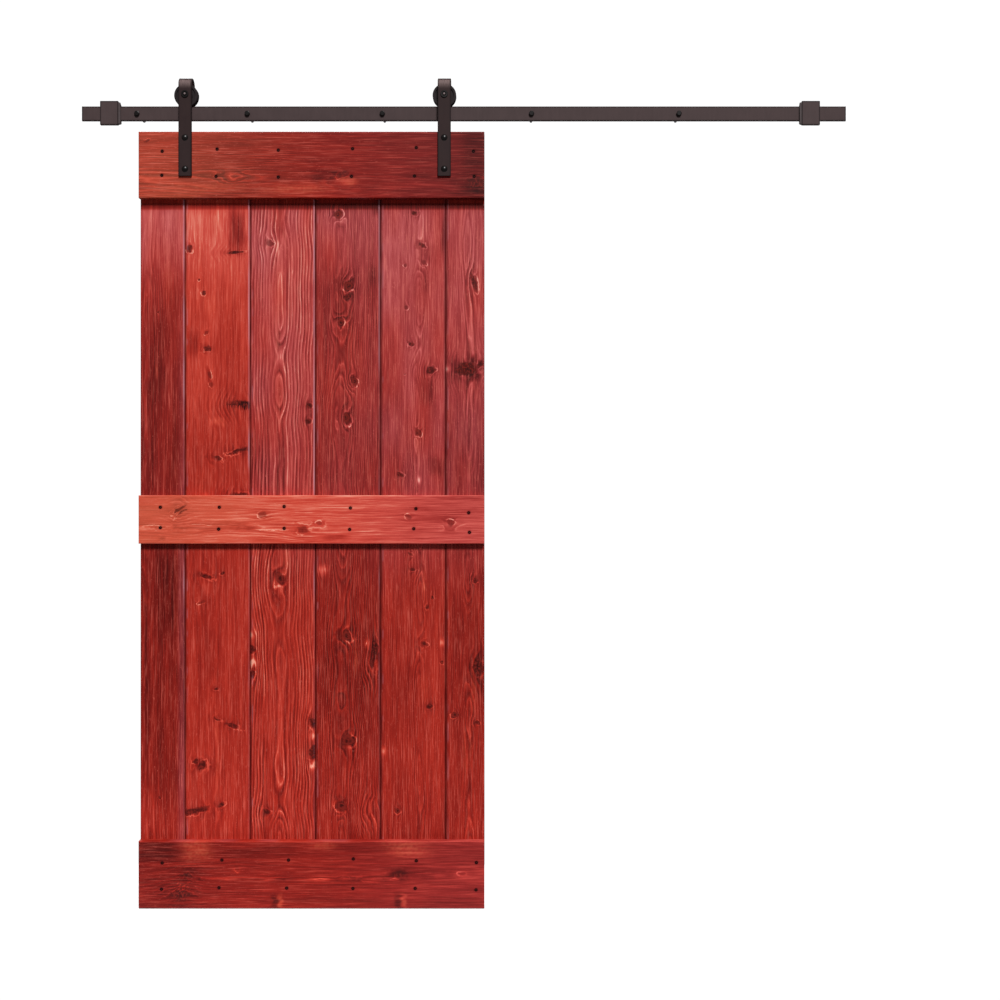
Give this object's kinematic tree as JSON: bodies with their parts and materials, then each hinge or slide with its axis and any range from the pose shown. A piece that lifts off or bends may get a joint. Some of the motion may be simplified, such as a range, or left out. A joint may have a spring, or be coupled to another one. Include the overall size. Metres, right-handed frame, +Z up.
{
  "type": "sliding barn door",
  "caption": "Boarded wooden door with face rails, hung on bent-strap rollers that run along a flat wall track between end stops.",
  "frame": {"origin": "on the axis of the middle lag bolt, in the plane of the wall's face", "axes": "+Z up, +X along the track to the right as seen from the room, +Y from the room into the wall"},
  "size_m": [2.105, 0.0943, 2.2834],
  "materials": {
    "stained_boards": "red stain, matt",
    "stained_rails": "red stain, matt",
    "stained_middle_rail": "paler red stain, matt",
    "coated_steel": "dark bronze powder coat, satin",
    "dark_fasteners": "black oxide, satin",
    "wheel_steel": "dark powder coat, satin",
    "bearing_steel": "ground",
    "cage_brass": "pressed",
    "bumper_rubber": "matt"
  },
  "bodies": {
    "track": {"track_bar": "coated_steel", "spacer_1": "dark_fasteners", "spacer_2": "dark_fasteners", "spacer_3": "dark_fasteners", "spacer_4": "dark_fasteners", "spacer_5": "dark_fasteners", "lag_bolt_1": "dark_fasteners", "lag_bolt_2": "dark_fasteners", "lag_bolt_3": "dark_fasteners", "lag_bolt_4": "dark_fasteners", "lag_bolt_5": "dark_fasteners", "stop_left_clamp": "coated_steel", "stop_left_bumper": "bumper_rubber", "stop_left_grub_screws": "dark_fasteners", "stop_right_clamp": "coated_steel", "stop_right_bumper": "bumper_rubber", "stop_right_grub_screws": "dark_fasteners"},
    "door": {"board_1": "stained_boards", "board_2": "stained_boards", "board_3": "stained_boards", "board_4": "stained_boards", "board_5": "stained_boards", "board_6": "stained_boards", "top_rail": "stained_rails", "middle_rail": "stained_middle_rail", "bottom_rail": "stained_rails", "top_rail_screws": "dark_fasteners", "middle_rail_screws": "dark_fasteners", "bottom_rail_screws": "dark_fasteners", "hanger_strap_left": "coated_steel", "carriage_bolts_left": "dark_fasteners", "bolt_washers_left": "dark_fasteners", "bolt_nuts_left": "dark_fasteners", "axle_bolt_left": "dark_fasteners", "axle_nut_left": "dark_fasteners", "axle_bush_front_left": "bearing_steel", "axle_bush_rear_left": "bearing_steel", "bearing_inner_left": "bearing_steel", "hanger_strap_right": "coated_steel", "carriage_bolts_right": "dark_fasteners", "bolt_washers_right": "dark_fasteners", "bolt_nuts_right": "dark_fasteners", "axle_bolt_right": "dark_fasteners", "axle_nut_right": "dark_fasteners", "axle_bush_front_right": "bearing_steel", "axle_bush_rear_right": "bearing_steel", "bearing_inner_right": "bearing_steel"},
    "roller_left": {"wheel_left": "wheel_steel", "bearing_outer_left": "bearing_steel", "circlip_left": "bearing_steel"},
    "ball_cage_left": {"bearing_balls_left": "bearing_steel", "bearing_cage_left": "cage_brass"},
    "roller_right": {"wheel_right": "wheel_steel", "bearing_outer_right": "bearing_steel", "circlip_right": "bearing_steel"},
    "ball_cage_right": {"bearing_balls_right": "bearing_steel", "bearing_cage_right": "cage_brass"}
  },
  "joints": [
    {"name": "door_slide", "type": "slide", "parent": "track", "child": "door", "axis": [1, 0, 0], "range_m": [-0.155, 0.952]},
    {"name": "roller_left_spin", "type": "hinge", "parent": "door", "child": "roller_left", "pos_m": [-0.54, -0.041, 0.0488], "axis": [0, 1, 0], "continuous": true},
    {"name": "ball_cage_left_spin", "type": "hinge", "parent": "door", "child": "ball_cage_left", "pos_m": [-0.54, -0.041, 0.0488], "axis": [0, 1, 0], "continuous": true},
    {"name": "roller_right_spin", "type": "hinge", "parent": "door", "child": "roller_right", "pos_m": [0.171, -0.041, 0.0488], "axis": [0, 1, 0], "continuous": true},
    {"name": "ball_cage_right_spin", "type": "hinge", "parent": "door", "child": "ball_cage_right", "pos_m": [0.171, -0.041, 0.0488], "axis": [0, 1, 0], "continuous": true}
  ],
  "couplings": [
    {"joint": "roller_left_spin", "follows": "door_slide", "rad_per_m": 35.088},
    {"joint": "ball_cage_left_spin", "follows": "door_slide", "rad_per_m": 21.744},
    {"joint": "roller_right_spin", "follows": "door_slide", "rad_per_m": 35.088},
    {"joint": "ball_cage_right_spin", "follows": "door_slide", "rad_per_m": 21.744}
  ]
}
